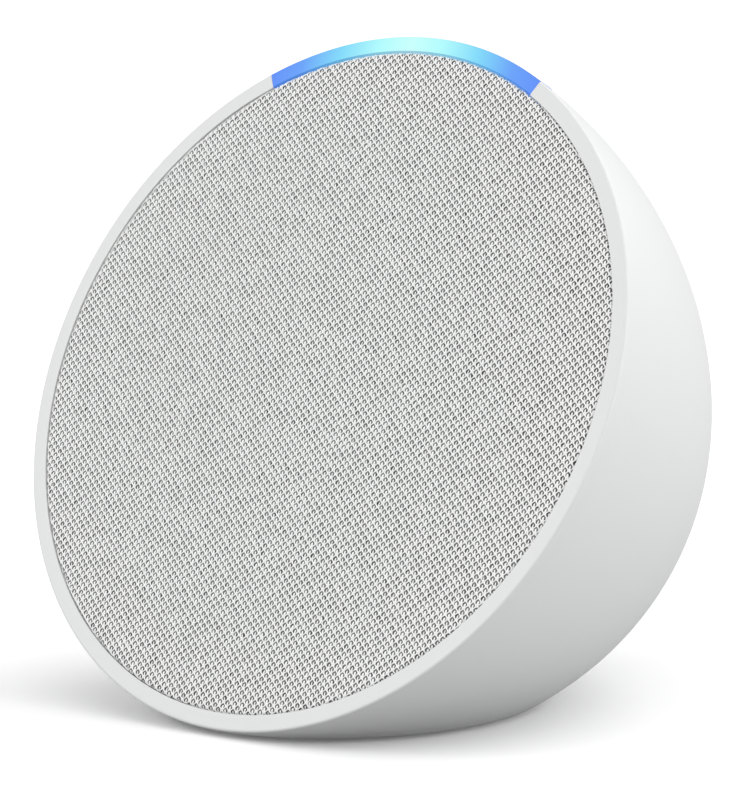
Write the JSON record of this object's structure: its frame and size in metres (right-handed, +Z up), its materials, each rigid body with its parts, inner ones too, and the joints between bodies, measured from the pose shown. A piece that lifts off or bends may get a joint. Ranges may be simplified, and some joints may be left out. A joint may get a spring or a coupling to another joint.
{
  "type": "smart speaker",
  "caption": "Small table-top smart speaker: tilted round knit face in a white rim, half-round shell, light bar along the top, buttons behind it, power inlet at the back.",
  "frame": {"origin": "on the table, under the middle of the speaker's width and depth", "axes": "+Z up, -Y towards the fabric face's side, +X to the right of someone facing it"},
  "size_m": [0.0988, 0.0833, 0.0908],
  "materials": {
    "shell_white": "fine matt moulding",
    "button_white": "fine matt moulding",
    "light_diffuser": "translucent, lit from behind",
    "reflector_white": "smooth",
    "led": "clear over phosphor",
    "knit": "openwork knit, light grey",
    "grille_plastic": "smooth",
    "foam": "closed-cell foam",
    "foot_rubber": "soft matt rubber",
    "steel": "zinc plated",
    "basket_steel": "black paint",
    "ferrite": "ground ferrite",
    "cone_paper": "pressed pulp",
    "surround_rubber": "moulded half roll",
    "spider_cloth": "resin-stiffened cloth",
    "copper": "enamelled winding wire",
    "former_film": "polyimide film",
    "black_plastic": "glass-filled moulding",
    "circuit_board": "green solder mask",
    "chip_epoxy": "moulded epoxy",
    "shield": "tinned",
    "thermal": "silicone pad",
    "aluminium": "extruded",
    "cable_white": "insulated wire",
    "cable_black": "insulated wire",
    "contact": "plated"
  },
  "bodies": {
    "housing": {"rear_shell": "shell_white", "foot_pad": "foot_rubber", "ballast_plate": "steel", "ballast_screws": "steel", "light_bar_diffuser": "light_diffuser", "light_bar_reflector": "reflector_white", "light_bar_board": "circuit_board", "light_bar_leds": "led", "light_cable": "cable_white", "grille_fabric": "knit", "grille_plate": "grille_plastic", "grille_gasket": "foam", "baffle": "black_plastic", "baffle_screws": "steel", "chamber_gasket": "foam", "chamber_cup": "black_plastic", "chamber_screws": "steel", "driver_gasket": "foam", "driver_basket": "basket_steel", "driver_screws": "steel", "driver_terminals": "contact", "top_plate": "steel", "magnet": "ferrite", "back_plate": "steel", "surround": "surround_rubber", "spider": "spider_cloth", "tinsel_leads": "copper", "switch_bodies": "black_plastic", "button_board": "circuit_board", "button_board_screws": "steel", "microphones": "shield", "mic_gaskets": "foam", "ribbon_cable": "cable_white", "main_board": "circuit_board", "main_board_screws": "steel", "main_board_connectors": "cable_white", "main_board_chips": "chip_epoxy", "shield_can": "shield", "thermal_pad": "thermal", "heat_sink": "aluminium", "antennas": "contact", "speaker_wires": "cable_black", "dc_jack_body": "black_plastic", "dc_jack_pin": "contact", "dc_jack_spring": "contact", "power_wires": "cable_black"},
    "cone_assembly": {"cone": "cone_paper", "dust_cap": "cone_paper", "voice_coil_former": "former_film", "voice_coil": "copper"},
    "volume_down": {"volume_down_button": "button_white", "volume_down_plunger": "black_plastic"},
    "mic_off": {"mic_off_button": "button_white", "mic_off_plunger": "black_plastic"},
    "volume_up": {"volume_up_button": "button_white", "volume_up_plunger": "black_plastic"}
  },
  "joints": [
    {"name": "cone_travel", "type": "slide", "parent": "housing", "child": "cone_assembly", "axis": [0, -0.9092, 0.4163], "range_m": [-0.002, 0.002], "stiffness_N_per_m": 1500, "deforming": ["surround", "spider", "tinsel_leads"]},
    {"name": "volume_down_press", "type": "slide", "parent": "housing", "child": "volume_down", "axis": [0.2335, -0.6272, -0.743], "range_m": [0, 0.0004], "stiffness_N_per_m": 2000, "springref_m": -0.0001},
    {"name": "mic_off_press", "type": "slide", "parent": "housing", "child": "mic_off", "axis": [0, -0.6392, -0.7691], "range_m": [0, 0.0004], "stiffness_N_per_m": 2000, "springref_m": -0.0001},
    {"name": "volume_up_press", "type": "slide", "parent": "housing", "child": "volume_up", "axis": [-0.2335, -0.6272, -0.743], "range_m": [0, 0.0004], "stiffness_N_per_m": 2000, "springref_m": -0.0001}
  ]
}
